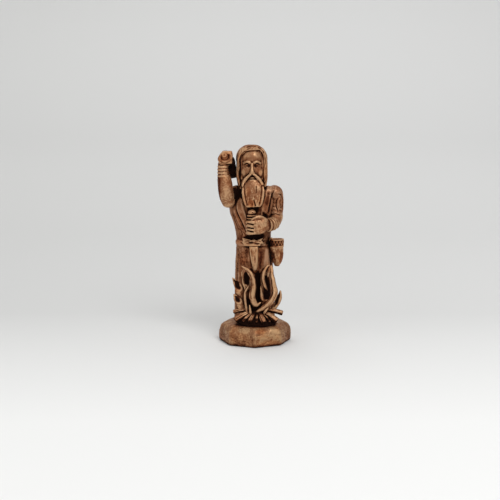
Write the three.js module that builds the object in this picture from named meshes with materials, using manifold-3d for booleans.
// A cast bronze figurine: a bearded smith god in a belted robe, one fist raised with a hammer behind it,
// the other closed on an upright haft, standing behind a wood fire on an eight-sided plinth.
// Millimetres. The origin is the middle of the plinth's underside, +Z is up and the figure faces -Y.
// Right and left are the figure's own: its right arm is on the -X side.
import * as THREE from 'three';
import { RoundedBoxGeometry } from 'three/addons/geometries/RoundedBoxGeometry.js';
import { mergeVertices } from 'three/addons/utils/BufferGeometryUtils.js';
import Module from 'manifold-3d';

const wasm = await Module();
wasm.setup();

// Driving dimensions
const GAP = 0.3;             // clear space between castings that meet
const PIN_CLEARANCE = 0.12;  // radial clearance of a pin in its hole
const PIN_RADIUS = 0.75;
const FINE_PIN_RADIUS = 0.5;
const PIN_END_SPACE = 0.4;   // free space past each end of a pin

const PLINTH = {
  acrossCorners: 27.7,
  footAcrossCorners: 26.6,
  topAcrossCorners: 18.8,
  height: 8,
  wallTop: 5,                // where the upright faces end and the dome begins
  recessAcrossCorners: 19,
  recessDepth: 3,
};
const SCREW = { radius: 1.5, headRadius: 2.7, headHeight: 2, slotWidth: 0.7, slotDepth: 0.8, length: 13 };

const ROBE = {
  middleX: -0.2,
  middleY: 2.4,
  height: 28.4,              // from the plinth up to the belt's seat
  hemWidth: 16,
  hemDepth: 11.2,
  waistWidth: 13.6,
  waistDepth: 9.8,
  foldDepth: 0.35,
};
const BELT = { width: 2, thickness: 0.7, coreInset: 0.95 };
const CHEST = { height: 19.4, middleX: -0.8, width: 17.2, depth: 11.2, neckWidth: 12, neckDepth: 8.4 };
const BRACELET = { proud: 0.5 };
const LAPEL = { width: 2.6, proud: 0.45 };
const HEAD = {
  middleX: -1.15,
  hairWidth: 11.3,
  hairDepth: 10.2,
  hairHeight: 16.2,
  faceWidth: 8.6,
  faceHeight: 15,
  faceProud: 1.7,            // how far the face stands in front of the hair
};
const BEARD = { width: 8.2, length: 12, thickness: 2.9 };
const POUCH = { radius: 2.45, length: 7.4, bandHeight: 3.3, bandProud: 0.3 };
const UPRIGHT_HAFT = { radius: 1.25, length: 8.9, collarRadius: 1.7, collarHeight: 0.75 };
const HAMMER = {
  haftRadius: 1.05,
  haftLength: 12.4,
  buttLength: 3.2,           // how much of the haft stands in front of the grip
  width: 4.1,
  depth: 4,
  length: 8,
  bevel: 0.7,
  lean: [0.23, 0.83, -0.52], // the way that the haft runs, from its butt to its head
  headTurn: [-0.55, -0.22, 0],
};

// Heights that follow from the sizes above
const plinthTop = PLINTH.height;
const beltSeat = plinthTop + ROBE.height;
const chestFoot = beltSeat + BELT.width + 2 * GAP;
const chestTop = chestFoot + CHEST.height;
const hairFoot = chestTop + GAP;
const hairTop = hairFoot + HEAD.hairHeight;
const hairMiddleY = ROBE.middleY - 1;
const hairFrontY = hairMiddleY - HEAD.hairDepth / 2;
const waistX = ROBE.middleX - 0.25;    // the waist leans a little towards the raised arm
const waistY = ROBE.middleY - 0.1;
const robeFrontY = ROBE.middleY - ROBE.hemDepth / 2;
const beltFrontY = waistY - ROBE.waistDepth / 2 - 0.25;
const chestMiddleY = ROBE.middleY - 0.2;
const chestFrontY = chestMiddleY - CHEST.depth / 2;

// Places on the figure are written from the landmark that carries them: [towards its left, backwards, up].
const measuredFrom = (landmark) => (point) => point.map((v, k) => v + landmark[k]);
const fromRightShoulder = measuredFrom([CHEST.middleX - CHEST.width / 2, chestFrontY, chestTop]);
const fromLeftShoulder = measuredFrom([CHEST.middleX + CHEST.width / 2, chestFrontY, chestTop]);
const fromRightGrip = measuredFrom(fromRightShoulder([-1.4, 0.2, 11.6]));
const fromHaftFoot = measuredFrom(fromLeftShoulder([-9, -2.7, -16.2]));
const fromThroat = measuredFrom([CHEST.middleX, chestFrontY, chestTop]);
const fromChin = measuredFrom([HEAD.middleX, hairFrontY, hairFoot]);
const fromBelt = measuredFrom([waistX, beltFrontY, beltSeat]);
const fromPouch = measuredFrom([waistX + ROBE.waistWidth / 2 + 1.85, waistY - 3.7, beltSeat]);
const fromFire = measuredFrom([0, robeFrontY, plinthTop]);

const FRONT = new THREE.Vector3(0, -1, 0);
const BRONZE = new THREE.MeshStandardMaterial({ color: 0x8c5a36, roughness: 0.42, metalness: 0.9 });
const DARK_BRONZE = new THREE.MeshStandardMaterial({ color: 0x5b3a25, roughness: 0.5, metalness: 0.9 });
const STEEL = new THREE.MeshStandardMaterial({ color: 0xa8a8a4, roughness: 0.35, metalness: 1 });

// The solid of a closed three.js geometry.
function solidOf(geometry) {
  const bare = geometry.clone();
  bare.deleteAttribute('normal');
  bare.deleteAttribute('uv');
  const merged = mergeVertices(bare, 1e-4);
  return new wasm.Manifold(new wasm.Mesh({
    numProp: 3,
    vertProperties: merged.attributes.position.array,
    triVerts: new Uint32Array(merged.index.array),
  }));
}

const join = (...solids) => solids.reduce((sum, each) => sum.add(each));
const cut = (solid, ...tools) => tools.reduce((rest, tool) => rest.subtract(tool), solid);

// A casting after it is cut round its neighbours, without the slivers that the cuts leave.
function trimmed(solid, ...neighbours) {
  const parts = cut(solid, ...neighbours).decompose();
  return parts.reduce((best, part) => (part.volume() > best.volume() ? part : best));
}

// The value of an evenly spaced list at t, from 0 to 1, on a smooth line through its entries.
function along(list, t) {
  const place = t * (list.length - 1);
  const i = Math.min(Math.floor(place), list.length - 2);
  const f = place - i;
  const at = (k) => list[THREE.MathUtils.clamp(k, 0, list.length - 1)];
  const slopeIn = (at(i + 1) - at(i - 1)) / 2;
  const slopeOut = (at(i + 2) - at(i)) / 2;
  const f2 = f * f;
  const f3 = f2 * f;
  return (2 * f3 - 3 * f2 + 1) * at(i) + (f3 - 2 * f2 + f) * slopeIn
    + (3 * f2 - 2 * f3) * at(i + 1) + (f3 - f2) * slopeOut;
}

// A bar whose section changes along a curve. Widths and depths are half sizes at even steps along it, depth
// being measured towards `front`. `grow` swells it all round and past its ends, for the space that it needs.
// `ripple(angle, t)` scales the section, its angle running from the front towards +X.
function sweep(points, widths, depths, options = {}) {
  const { sides = 8, steps = 10, grow = 0, front = FRONT, upright = false, ripple = () => 1 } = options;
  const stops = points.map((p) => new THREE.Vector3(...p));
  const curve = new THREE.CatmullRomCurve3(stops, false, 'centripetal');
  const geometry = new THREE.CylinderGeometry(1, 1, 1, sides, steps);
  const place = geometry.attributes.position;
  for (let i = 0; i < place.count; i += 1) {
    const t = place.getY(i) + 0.5;
    const tangent = upright ? new THREE.Vector3(0, 0, 1) : curve.getTangentAt(t);
    const across = new THREE.Vector3().crossVectors(tangent, front).normalize();
    const towards = new THREE.Vector3().crossVectors(across, tangent);
    const scale = ripple(Math.atan2(place.getX(i), place.getZ(i)), t);
    const past = t === 0 ? -grow : t === 1 ? grow : 0;
    const point = curve.getPointAt(t)
      .addScaledVector(tangent, past)
      .addScaledVector(across, place.getX(i) * (along(widths, t) * scale + grow))
      .addScaledVector(towards, place.getZ(i) * (along(depths, t) * scale + grow));
    place.setXYZ(i, point.x, point.y, point.z);
  }
  return solidOf(geometry);
}

// A straight round bar from one point to another.
function bar(from, to, radius, { sides = 16, grow = 0 } = {}) {
  return sweep([from, to], [radius, radius], [radius, radius], {
    sides, grow, steps: 1, front: new THREE.Vector3(0.1, -1, 0.2),
  });
}

// The hole for a pin, which is wider than the pin and longer at both ends.
function pinHole(pin) {
  const start = new THREE.Vector3(...pin.from);
  const end = new THREE.Vector3(...pin.to);
  const over = end.clone().sub(start).setLength(PIN_END_SPACE);
  return bar(start.sub(over).toArray(), end.add(over).toArray(), pin.radius + PIN_CLEARANCE);
}

function ellipsoid(middle, radii, { grow = 0, sides = 20, rings = 14 } = {}) {
  const geometry = new THREE.SphereGeometry(1, sides, rings)
    .rotateX(Math.PI / 2)
    .scale(...radii.map((r) => r + grow))
    .translate(...middle);
  return solidOf(geometry);
}

function block(middle, size, radius, { turn = [0, 0, 0], grow = 0 } = {}) {
  const [w, d, h] = size.map((s) => s + 2 * grow);
  const geometry = new RoundedBoxGeometry(w, d, h, 1, radius)
    .applyMatrix4(new THREE.Matrix4().makeRotationFromEuler(new THREE.Euler(...turn)))
    .translate(...middle);
  return solidOf(geometry);
}

// A lathe turned about an upright axis at (x, y). Eight sides with a corner to the front make the plinth.
function turned(profile, x, y, sides, cornerFront = false) {
  const start = cornerFront ? 0 : Math.PI / sides;
  const geometry = new THREE.LatheGeometry(profile.map(([r, z]) => new THREE.Vector2(r, z)), sides, start)
    .rotateX(Math.PI / 2)
    .translate(x, y, 0);
  return solidOf(geometry);
}

const castings = new THREE.Group();

function place(name, solid, material = BRONZE) {
  const { vertProperties, triVerts } = solid.getMesh();
  const geometry = new THREE.BufferGeometry()
    .setAttribute('position', new THREE.BufferAttribute(vertProperties, 3))
    .setIndex(new THREE.BufferAttribute(triVerts, 1));
  geometry.computeVertexNormals();
  const mesh = new THREE.Mesh(geometry, material);
  mesh.name = name;
  castings.add(mesh);
}

// Pins and the screw, each from its inner end outwards. The holes that they need use the same values.
const footMiddle = [ROBE.middleX, ROBE.middleY];
const recessCeiling = PLINTH.recessDepth;
const PINS = {
  foot_dowel: {
    from: [footMiddle[0], footMiddle[1] + 3.6, plinthTop - 3],
    to: [footMiddle[0], footMiddle[1] + 3.6, plinthTop + 3],
    radius: PIN_RADIUS,
  },
  fire_peg_right: {
    from: fromFire([-3.6, -2.8, -2.6]), to: fromFire([-3.6, -2.8, 1.2]), radius: PIN_RADIUS,
  },
  fire_peg_left: {
    from: fromFire([5.2, -2.8, -2.6]), to: fromFire([5.2, -2.8, 1.2]), radius: PIN_RADIUS,
  },
  waist_stud: {
    from: [ROBE.middleX, ROBE.middleY, beltSeat - 4],
    to: [ROBE.middleX, ROBE.middleY, chestFoot + 5],
    radius: SCREW.radius,
  },
  bow_pin: {
    from: fromBelt([-0.15, 2.45, 1.3]), to: fromBelt([-0.15, -0.45, 1.3]), radius: FINE_PIN_RADIUS,
  },
  pouch_pin: {
    from: fromPouch([-3.8, 2.3, -2.8]), to: fromPouch([-0.6, 0.6, -2.8]), radius: PIN_RADIUS,
  },
  neck_pin: {
    from: [HEAD.middleX, hairMiddleY + 1.7, chestTop - 5],
    to: [HEAD.middleX, hairMiddleY + 1.7, hairFoot + 5],
    radius: PIN_RADIUS,
  },
  face_pin: { from: fromChin([0, 7.3, 8.3]), to: fromChin([0, 1.1, 8.3]), radius: PIN_RADIUS },
  beard_pin: {
    from: fromChin([0.25, 1.1, 2.9]), to: fromChin([0.55, -1.6, 2.5]), radius: FINE_PIN_RADIUS,
  },
  right_shoulder_pin: {
    from: fromRightShoulder([5, 5.2, -3.4]), to: fromRightShoulder([1.2, 3.6, -3.6]), radius: PIN_RADIUS,
  },
  right_elbow_pin: {
    from: fromRightShoulder([0.8, 2.9, -4.3]), to: fromRightShoulder([-0.9, 0.7, -4]), radius: PIN_RADIUS,
  },
  left_shoulder_pin: {
    from: fromLeftShoulder([-3.2, 5.3, -3.4]), to: fromLeftShoulder([0.2, 4.9, -3.6]), radius: PIN_RADIUS,
  },
  left_elbow_pin: {
    from: fromLeftShoulder([0.9, 4.1, -7]), to: fromLeftShoulder([0.5, 3.3, -11]), radius: PIN_RADIUS,
  },
};
for (const [name, pin] of Object.entries(PINS)) {
  place(name, bar(pin.from, pin.to, pin.radius), STEEL);
}
const pinHoles = Object.values(PINS).map(pinHole);

function screwSolid() {
  const headTop = recessCeiling;
  const headFoot = headTop - SCREW.headHeight;
  const tip = headTop + SCREW.length;
  const body = turned([
    [0, headFoot], [SCREW.headRadius, headFoot], [SCREW.headRadius, headTop],
    [SCREW.radius, headTop], [SCREW.radius, tip - 0.6], [SCREW.radius - 0.6, tip], [0, tip],
  ], ...footMiddle, 20);
  const slotSize = [2 * SCREW.headRadius + 1, SCREW.slotWidth, 2 * SCREW.slotDepth];
  const slot = block([...footMiddle, headFoot], slotSize, 0.01);
  return cut(body, slot);
}
const screwHole = bar(
  [...footMiddle, recessCeiling - 1],
  [...footMiddle, recessCeiling + SCREW.length + PIN_END_SPACE],
  SCREW.radius + PIN_CLEARANCE,
);
place('foot_screw', screwSolid(), STEEL);

// A casting, cut clear of its neighbours and drilled for each pin that reaches it.
const drillings = join(screwHole, ...pinHoles);
function cast(name, solid, neighbours = [], material = BRONZE) {
  place(name, trimmed(solid, ...neighbours, drillings), material);
}

// The plinth: upright faces, a chamfered foot and a domed shoulder, cored out underneath.
function plinthSolid() {
  const wide = PLINTH.acrossCorners / 2;
  const foot = PLINTH.footAcrossCorners / 2;
  const top = PLINTH.topAcrossCorners / 2;
  const fullness = 0.8;    // below 1, the dome is fuller than an oval
  const dome = [0.3, 0.55, 0.8].map((share) => {
    const angle = share * Math.PI / 2;
    return [
      top + (wide - top) * Math.cos(angle) ** fullness,
      PLINTH.wallTop + (plinthTop - PLINTH.wallTop) * Math.sin(angle) ** fullness,
    ];
  });
  const outside = turned([
    [0, 0], [foot, 0], [wide, (wide - foot) * 2], [wide, PLINTH.wallTop],
    ...dome, [top, plinthTop], [0, plinthTop],
  ], 0, 0, 8, true);
  const core = PLINTH.recessAcrossCorners / 2;
  const hollow = [[0, -1], [core, -1], [core - 0.3, recessCeiling], [0, recessCeiling]];
  const recess = turned(hollow, 0, 0, 8, true);
  return cut(outside, recess);
}
cast('plinth', plinthSolid());

// The robe's section at a share of its height above the plinth. Its folds are deepest at the hem.
const ROBE_FOLDS = [[5, 0.4], [8, 1.9], [13, 0.7]];  // folds round the hem, and where each set starts
function robeFolds(angle, t) {
  const wave = ROBE_FOLDS.reduce((sum, [count, start]) => sum + Math.cos(count * angle + start), 0);
  return 1 + (1 - t) * (ROBE.foldDepth / ROBE.hemWidth) * wave;
}
function robeShell(grow = 0, top = beltSeat) {
  const { middleX, middleY, hemWidth, hemDepth, waistWidth, waistDepth } = ROBE;
  const kneeWidth = hemWidth - 0.5;
  const knee = plinthTop + 0.42 * ROBE.height;
  return sweep(
    [[middleX, middleY, plinthTop], [middleX, middleY, knee], [waistX, waistY, top]],
    [hemWidth / 2, kneeWidth / 2, kneeWidth / 2, waistWidth / 2],
    [hemDepth / 2, hemDepth / 2 - 0.1, hemDepth / 2 - 0.2, waistDepth / 2],
    { sides: 36, steps: 6, grow, upright: true, ripple: robeFolds },
  );
}
function waistRing(inset, foot, top) {
  const half = [ROBE.waistWidth / 2 - inset, ROBE.waistDepth / 2 - inset];
  return sweep([[waistX, waistY, foot], [waistX, waistY, top]], [half[0], half[0]], [half[1], half[1]], {
    sides: 36, steps: 1, upright: true,
  });
}
const waistCore = waistRing(BELT.coreInset, beltSeat - 1, chestFoot);
const robeNeeds = robeShell(GAP);
cast('robe_skirt', join(robeShell(), waistCore));
cast('belt', cut(
  waistRing(-0.25, beltSeat + GAP, beltSeat + GAP + BELT.width),
  waistRing(BELT.thickness - 0.25 - 0.05, beltSeat, chestFoot),
));

// The chest widens from the belt to the shoulders and closes in to the neck.
function chestShell(grow = 0) {
  const w = CHEST.width / 2;
  const d = CHEST.depth / 2;
  const waist = [ROBE.waistWidth / 2 - 0.5, ROBE.waistDepth / 2];
  return sweep(
    [
      [waistX, waistY, chestFoot],
      [CHEST.middleX, chestMiddleY, chestFoot + CHEST.height / 2],
      [CHEST.middleX + 0.5, chestMiddleY - 0.2, chestTop],
    ],
    [waist[0], w - 2.3, w - 1.1, w, w - 0.5, CHEST.neckWidth / 2],
    [waist[1], d - 0.4, d, d, d - 0.3, CHEST.neckDepth / 2],
    { sides: 28, steps: 8, grow, upright: true },
  );
}

// The robe's two lapels, which cross the chest and vanish behind the left fist.
const LAPELS = [
  [[-4.6, -3.6], [-4.5, -7], [-3.4, -11.4], [-1.6, -15.8]],
  [[4.9, -2], [4.5, -5.8], [3.4, -9.8], [1.7, -13.8]],
];
function lapelSolid(path, grow = 0) {
  const points = path.map(([x, z]) => fromThroat([x, 0.35 + 0.035 * x ** 2, z]));
  const half = LAPEL.width / 2;
  return sweep(points, [0.7 * half, half, half, 0.6 * half], [LAPEL.proud + 0.5, LAPEL.proud + 0.35, 0.4], {
    sides: 6, steps: 5, grow,
  });
}
const lapels = (grow = 0) => LAPELS.map((path) => lapelSolid(path, grow));
const chestAndLapels = (grow = 0) => join(chestShell(grow), ...lapels(grow));
const chestNeeds = chestAndLapels(GAP);

// Head: a cap of hair that falls to the shoulders, the face set into its front, and the beard over it.
function hairShell(grow = 0) {
  const w = HEAD.hairWidth / 2;
  const d = HEAD.hairDepth / 2;
  const crown = hairTop - 1.15 * w;
  const fall = sweep(
    [[HEAD.middleX, hairMiddleY, hairFoot], [HEAD.middleX, hairMiddleY, crown + 0.6]],
    [0.93 * w, w, w, 0.985 * w], [0.9 * d, 0.98 * d, d, 0.985 * d],
    { sides: 24, steps: 4, grow, upright: true },
  );
  const crownSize = [w, d, 1.15 * w];
  const dome = ellipsoid([HEAD.middleX, hairMiddleY, crown], crownSize, { grow, sides: 24, rings: 14 });
  return join(fall, dome);
}
const faceSunk = 1.9;        // how far the face's middle lies behind the front of the hair
const faceMiddle = fromChin([0.15, faceSunk, 6.9]);
function faceShell(grow = 0) {
  const radii = [HEAD.faceWidth / 2, faceSunk + HEAD.faceProud, HEAD.faceHeight / 2];
  return ellipsoid(faceMiddle, radii, { grow, sides: 18, rings: 12 });
}
function noseSolid(grow = 0) {
  const fromFaceFront = measuredFrom([faceMiddle[0], hairFrontY - HEAD.faceProud, faceMiddle[2]]);
  return sweep([[0, 0.5, 2.2], [0, -0.2, 0.2], [0, -0.4, -1.2]].map(fromFaceFront),
    [0.45, 0.55, 0.85], [0.5, 0.6, 0.6], { sides: 8, steps: 3, grow });
}
function beardShell(grow = 0) {
  const w = BEARD.width / 2;
  const d = BEARD.thickness / 2;
  const top = 5.4;
  return sweep(
    [[0.35, -1, top], [0.4, -1.9, top - 4], [0.55, -2.2, top - BEARD.length]].map(fromChin),
    [0.35 * w, 0.86 * w, w, 0.96 * w, 0.84 * w, 0.7 * w],
    [0.55 * d, 0.9 * d, d, d, 0.95 * d, 0.8 * d],
    { sides: 14, steps: 8, grow },
  );
}
const hairNeeds = hairShell(GAP);
const faceNeeds = join(faceShell(GAP), noseSolid(GAP));
const beardNeeds = beardShell(GAP);
cast('head_face', join(faceShell(), noseSolid()), [chestNeeds]);
cast('head_hair', hairShell(), [faceNeeds]);
cast('beard', beardShell(), [faceNeeds, hairNeeds, chestNeeds]);

// Right arm: the sleeve leaves the shoulder forwards, the bare forearm stands up from the elbow.
// Each fist is a palm, four fingers in a row along the haft that it holds, and a thumb.
const FINGER_PITCH = 1.35;
const rightSleeve = (grow = 0) => sweep(
  [[4.6, 5.3, -1.4], [2, 4.4, -1.7], [0.1, 2.6, -3.2]].map(fromRightShoulder),
  [2, 2.95, 2.7], [2.3, 2.9, 2.5], { sides: 14, steps: 5, grow },
);
const rightForearm = (grow = 0) => sweep(
  [[-0.5, 1, -7.1], [-1, 0.4, -3.8], [-1.5, 0.3, -0.2], [-2.2, 0.4, 4.2], [-2.1, 0.4, 8.4]]
    .map(fromRightShoulder),
  [1.1, 2.75, 3.1, 2.8, 2.2, 1.8, 1.9], [1.2, 2.5, 2.6, 2.4, 2, 1.75, 1.9], { sides: 12, steps: 9, grow },
);
const hammerLean = new THREE.Vector3(...HAMMER.lean).normalize();
const haftAt = (distance) => fromRightGrip(hammerLean.clone().multiplyScalar(distance).toArray());
const hammerHaft = (grow = 0) => bar(
  haftAt(-HAMMER.buttLength - grow),
  haftAt(HAMMER.haftLength - HAMMER.buttLength + grow),
  HAMMER.haftRadius + grow,
  { sides: 12 },
);
const rightFingers = [0, 1, 2, 3].map((i) => {
  const y = (i - 1.5) * FINGER_PITCH;
  return sweep(
    [[-1.4, y, -2.4], [-2.05, y, 0.4], [-1, y, 2.2], [1.1, y, 2], [2, y, 0.2], [1.1, y, -1.5]]
      .map(fromRightGrip),
    [0.75, 0.75, 0.75, 0.75, 0.7, 0.6], [0.72, 0.72, 0.72, 0.72, 0.7, 0.6], { sides: 6, steps: 7 },
  );
});
const rightPalm = block(fromRightGrip([-0.5, 0, -1.8]), [3.6, 4.7, 3.2], 0.9);
const rightThumb = sweep([[0.4, 2.2, -3], [1.7, 2.8, -1.8], [2.1, 2.6, 0.2]].map(fromRightGrip),
  [0.8, 0.85, 0.5], [0.8, 0.8, 0.5], { sides: 6, steps: 4 });
const hammerHeadMiddle = haftAt(HAMMER.haftLength - HAMMER.buttLength - 1.4);
const hammerHeadSize = [HAMMER.width, HAMMER.depth, HAMMER.length];
const hammerHead = block(hammerHeadMiddle, hammerHeadSize, HAMMER.bevel, { turn: HAMMER.headTurn });
cast('right_sleeve', rightSleeve(), [chestNeeds, hairNeeds]);
cast('right_forearm', join(rightForearm(), rightPalm, ...rightFingers, rightThumb),
  [hammerHaft(GAP), rightSleeve(GAP), chestNeeds]);
cast('hammer_haft', hammerHaft(), [], DARK_BRONZE);
cast('hammer_head', hammerHead, [hammerHaft(PIN_CLEARANCE), hairNeeds], DARK_BRONZE);

// A bracelet is a slice of the space round a bare forearm, so that its bore follows the arm.
function bracelet(arm, from, to) {
  const slice = bar(from, to, 3.6);
  return cut(arm(BRACELET.proud).intersect(slice), arm(PIN_CLEARANCE));
}
const rightWrist = [[-2.2, 0.4, 4.2], [-2.2, 0.4, 6.6]].map(fromRightShoulder);
cast('right_bracelet', bracelet(rightForearm, ...rightWrist));

// Left arm: the sleeve hangs to the elbow, the forearm comes forward and across to the upright haft.
const leftSleeve = (grow = 0) => sweep(
  [[-1.2, 5.4, 0.2], [-0.1, 5.2, -2.8], [0.3, 4.5, -6.2], [0.1, 3.9, -9]].map(fromLeftShoulder),
  [2, 3, 2.95, 2.85, 2.7], [2.2, 3.1, 3.1, 2.9, 2.7], { sides: 14, steps: 7, grow },
);
const leftForearm = (grow = 0) => sweep(
  [[-0.1, 3.8, -9.6], [-0.6, 2.6, -12.4], [-1.9, -0.2, -13.4], [-3.6, -2.6, -13.7], [-5.2, -3.4, -13.7]]
    .map(fromLeftShoulder),
  [2.3, 2.55, 2.4, 2.15, 2, 2.1], [2.3, 2.5, 2.2, 1.9, 1.7, 1.7], { sides: 12, steps: 9, grow },
);
function uprightHaft(grow = 0) {
  const [x, y, foot] = fromHaftFoot([0, 0, 0]);
  const { radius, length, collarRadius, collarHeight } = UPRIGHT_HAFT;
  const r = radius + grow;
  const c = collarRadius + grow;
  const top = foot + length + grow;
  const collar = (z) => [[r, z], [c, z + 0.15], [c, z + collarHeight - 0.15], [r, z + collarHeight]];
  return turned([
    [0, foot - grow], [r, foot - grow], ...collar(foot + 5.1), ...collar(foot + 6.1),
    [r + 0.25, top - 0.9], [r, top - 0.2], [0, top],
  ], x, y, 16);
}
const leftFingers = [0, 1, 2, 3].map((i) => {
  const z = 0.45 + i * FINGER_PITCH;
  return sweep(
    [[2.6, -1.5, z + 0.3], [0.7, -2.25, z + 0.15], [-1.1, -1.9, z], [-2, -0.4, z], [-1.4, 1.2, z]]
      .map(fromHaftFoot),
    [0.7, 0.72, 0.7, 0.68, 0.5], [0.7, 0.7, 0.7, 0.65, 0.5],
    { sides: 6, steps: 6, front: new THREE.Vector3(0, 0, 1) },
  );
});
const leftPalm = block(fromHaftFoot([2.7, -0.7, 2.6]), [3.6, 3.2, 5.2], 0.9);
const leftThumb = sweep([[3.9, -0.5, 4.4], [2.7, -1.3, 5.6], [1.5, -1.9, 5.8]].map(fromHaftFoot),
  [0.9, 0.85, 0.5], [0.9, 0.8, 0.5], { sides: 6, steps: 4 });
cast('left_sleeve', leftSleeve(), [chestNeeds, hairNeeds]);
cast('left_forearm', join(leftForearm(), leftPalm, ...leftFingers, leftThumb),
  [uprightHaft(GAP), leftSleeve(GAP), chestNeeds]);
cast('upright_haft', uprightHaft(), [], DARK_BRONZE);
const leftWrist = [[-1.9, -0.3, -13.4], [-3, -1.8, -13.6]].map(fromLeftShoulder);
cast('left_bracelet', bracelet(leftForearm, ...leftWrist), [chestNeeds]);

cast('chest', chestAndLapels());

// The belt's bow, with a swallow-tailed end, and the end of the sash that hangs from it.
function bowSolid() {
  const outline = new THREE.Shape([
    [-4.2, 0.95], [-0.5, 0.7], [3.7, 1.3], [2.7, 0.1], [3.9, -1.05], [1, -0.75], [-0.5, -0.1],
    [-2, -0.8], [-3.6, -0.75],
  ].map(([x, z]) => new THREE.Vector2(x, z)));
  const geometry = new THREE.ExtrudeGeometry(outline, {
    depth: 0.7, bevelEnabled: true, bevelThickness: 0.2, bevelSize: 0.15, bevelSegments: 1,
  })
    .rotateX(Math.PI / 2)
    .translate(...fromBelt([-0.15, -GAP, 1.3]));
  const knot = block(fromBelt([-0.45, -GAP - 0.45, 1.5]), [1.5, 1.3, 1.9], 0.35);
  return join(solidOf(geometry), knot);
}
cast('belt_bow', bowSolid());
function sashSolid() {
  const length = 11.2;
  const half = 1.45;
  const outline = new THREE.Shape([
    [-half, 0], [half, 0], [half, -length], [0.2, -length - 0.5], [-half, -length + 0.2],
  ].map(([x, z]) => new THREE.Vector2(x, z)));
  const geometry = new THREE.ExtrudeGeometry(outline, {
    depth: 0.6, bevelEnabled: true, bevelThickness: 0.15, bevelSize: 0.12, bevelSegments: 1,
  })
    .rotateX(Math.PI / 2 - 0.02);
  return solidOf(geometry).translate([waistX + 0.05, robeFrontY - GAP + 0.05, beltSeat - GAP]);
}
cast('sash_end', sashSolid(), [robeNeeds]);

// The pouch at the left hip: a tapered body under a wide banded collar.
function pouchShell(top, foot, halfWidths) {
  const path = [[0.1, 0, top], [0, 0, (top + foot) / 2], [0, 0.1, foot]].map(fromPouch);
  return sweep(path, halfWidths, halfWidths, { sides: 16, steps: 6 });
}
const pouchTop = 3.1;        // above the belt's seat
const bandFoot = pouchTop - POUCH.bandHeight;
const bandRadius = POUCH.radius + POUCH.bandProud;
const bodyRadii = [1, 1.02, 0.95, 0.7, 0.3].map((share) => share * POUCH.radius);
cast('pouch', pouchShell(bandFoot - 1.5 * GAP, bandFoot - POUCH.length, bodyRadii), [robeNeeds]);
cast('pouch_band', pouchShell(pouchTop, bandFoot, [bandRadius, bandRadius, bandRadius]),
  [robeNeeds, waistRing(-0.25 - GAP, beltSeat + bandFoot - 1, beltSeat + pouchTop + 1), chestNeeds]);

// The fire. Each log runs from its outer end in towards the heart of the fire, thinner as it goes.
const fireHeart = [0.8, -3, 5];
const LOGS = {
  log_right_low: { end: [-7.4, -5.2, 2.1], radius: 1.25, reach: 0.3 },
  log_right_high: { end: [-8.3, -2, 4.6], radius: 0.85, reach: 0.35 },
  log_front_1: { end: [-4.5, -7, 1.9], radius: 0.75, reach: 0.45 },
  log_front_2: { end: [-2, -7.7, 1.6], radius: 1, reach: 0.42 },
  log_front_3: { end: [0.6, -7.9, 1.7], radius: 0.65, reach: 0.45 },
  log_front_4: { end: [3.3, -8, 1.6], radius: 1.25, reach: 0.42 },
  log_front_5: { end: [5.6, -7.1, 1.8], radius: 0.65, reach: 0.5 },
  log_left_low: { end: [8.3, -5.7, 1.9], radius: 1.3, reach: 0.35 },
  log_left_high: { end: [10.7, -2.3, 4.1], radius: 1, reach: 0.4 },
};
function logSolid({ end, radius, reach }, grow = 0) {
  const inner = end.map((v, k) => fireHeart[k] + (v - fireHeart[k]) * reach);
  return sweep([inner, end].map(fromFire), [0.55 * radius, radius], [0.55 * radius, radius], {
    sides: 10, steps: 2, grow,
  });
}

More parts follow.
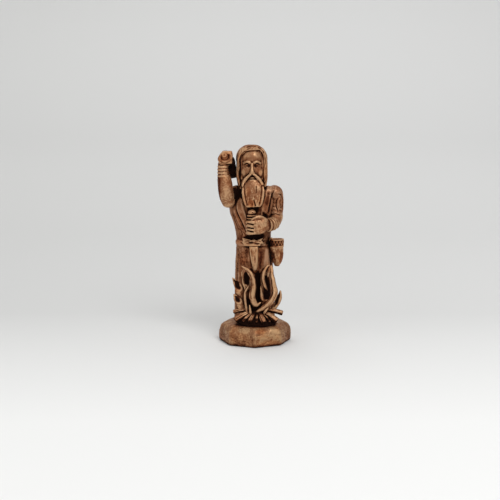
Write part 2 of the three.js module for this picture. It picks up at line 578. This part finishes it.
// Each flame is a flat tongue that leaves the embers, bends and runs out to a point.
const FLAMES = {
  flame_leaf_high: {
    path: [[-4.9, -0.7, 1.6], [-5.2, -0.8, 8], [-5.9, -1, 12.4], [-7, -1.3, 15], [-8.4, -1.4, 17.3]],
    width: [0.8, 0.9, 1.1, 1.3, 1.1, 0.15],
  },
  flame_leaf_low: {
    path: [[-4.6, -2.1, 1.8], [-5.2, -2.3, 5.6], [-5.9, -2.3, 7.9], [-6.9, -2.3, 9.4], [-8, -2.3, 11.2]],
    width: [0.7, 0.85, 1, 1.05, 0.8, 0.15],
  },
  flame_thin: {
    path: [
      [-3.2, -3.4, 2], [-3.6, -3.6, 7.5], [-3.9, -3.7, 9.5], [-3.8, -3.7, 11.4], [-3.3, -3.6, 13.1],
      [-2.2, -3.4, 14.5],
    ],
    width: [0.6, 0.6, 0.6, 0.55, 0.45, 0.15],
  },
  flame_tall_right: {
    path: [
      [2.2, -3.5, 7.8], [1, -4, 7.6], [-0.2, -4.3, 8.4], [-1, -4.4, 10.4], [-1.25, -4.4, 12.2],
      [-0.6, -4.4, 14.4], [-0.5, -4.3, 16.4], [-1.3, -4.1, 18.4], [-2.9, -3.8, 20], [-5.1, -3.4, 22.1],
    ],
    width: [0.5, 1, 1.25, 1.3, 1.3, 1.15, 0.95, 0.8, 0.65, 0.15],
  },
  flame_back_right: {
    path: [
      [-2.6, -1.7, 2], [-2.7, -1.7, 8.6], [-2.9, -1.7, 13], [-3.5, -1.7, 17], [-4.2, -1.7, 19.4],
      [-4.8, -1.8, 21.4],
    ],
    width: [1.9, 1.9, 1.7, 1.4, 0.9, 0.15],
  },
  flame_spike: {
    path: [[4.7, -2.8, 9.6], [3.4, -3, 8.8], [2.3, -3, 10.2], [1.95, -3, 12.4], [2.05, -2.9, 14.4]],
    width: [0.4, 0.85, 0.9, 0.5, 0.12],
  },
  flame_inner_left: {
    path: [
      [4.6, -1.4, 2], [5.2, -1.6, 8.6], [5.1, -1.7, 12.4], [4.6, -1.8, 16.4], [4.4, -1.8, 19.4],
      [5, -1.6, 22.2],
    ],
    width: [2.2, 2.5, 2.1, 1.8, 1.6, 0.15],
  },
  flame_tall_left: {
    path: [
      [0.5, -3.9, 4.8], [2, -4.3, 5.8], [3.7, -4.6, 7.1], [5.4, -4.5, 8.6], [6.9, -4.1, 10.2],
      [7.7, -3.6, 12.2], [7.4, -3.1, 14.4], [6.7, -2.7, 16.2], [6.4, -2.2, 18.6], [6.2, -1.9, 21.2],
    ],
    width: [0.6, 0.9, 1, 1.1, 1.1, 1, 0.9, 0.8, 0.15],
  },
  flame_outer_left: {
    path: [[6.1, -1.8, 4.6], [7.4, -2, 6.4], [8.7, -2.1, 8.4], [9.4, -2, 10.4], [9.4, -1.9, 12.4]],
    width: [0.6, 0.8, 0.9, 0.75, 0.15],
  },
  flame_low_left: {
    path: [[3.1, -4.5, 3.4], [3.9, -5.2, 4.8], [5.1, -5.4, 6.6]],
    width: [0.5, 0.5, 0.15],
  },
  flame_low_right: {
    path: [[-1.7, -4.5, 3], [-1.9, -5, 5.2], [-2.2, -5.1, 7.5]],
    width: [0.5, 0.45, 0.12],
  },
};
function flameSolid({ path, width }, grow = 0) {
  const depth = width.map((w) => 0.35 + 0.3 * w);
  depth[depth.length - 1] = width[width.length - 1];
  return sweep(path.map(fromFire), width, depth, { sides: 6, steps: path.length + 3, grow });
}

function emberHeap() {
  return sweep([[0.6, -3.4, 0], [0.8, -3, 4]].map(fromFire), [7.9, 7.4, 5.6, 3], [4.4, 4.1, 3, 1.6], {
    sides: 24, steps: 3, upright: true,
  });
}
const logNeeds = Object.values(LOGS).map((log) => logSolid(log, GAP));
const flameNeeds = Object.values(FLAMES).map((flame) => flameSolid(flame, GAP));
Object.entries(LOGS).forEach(([name, log], i) => {
  cast(name, logSolid(log), [robeNeeds, ...logNeeds.slice(0, i)], DARK_BRONZE);
});
Object.entries(FLAMES).forEach(([name, flame], i) => {
  cast(name, flameSolid(flame), [robeNeeds, ...logNeeds, ...flameNeeds.slice(0, i)]);
});
cast('ember_heap', emberHeap(), [robeNeeds, ...logNeeds, ...flameNeeds], DARK_BRONZE);

export default castings;
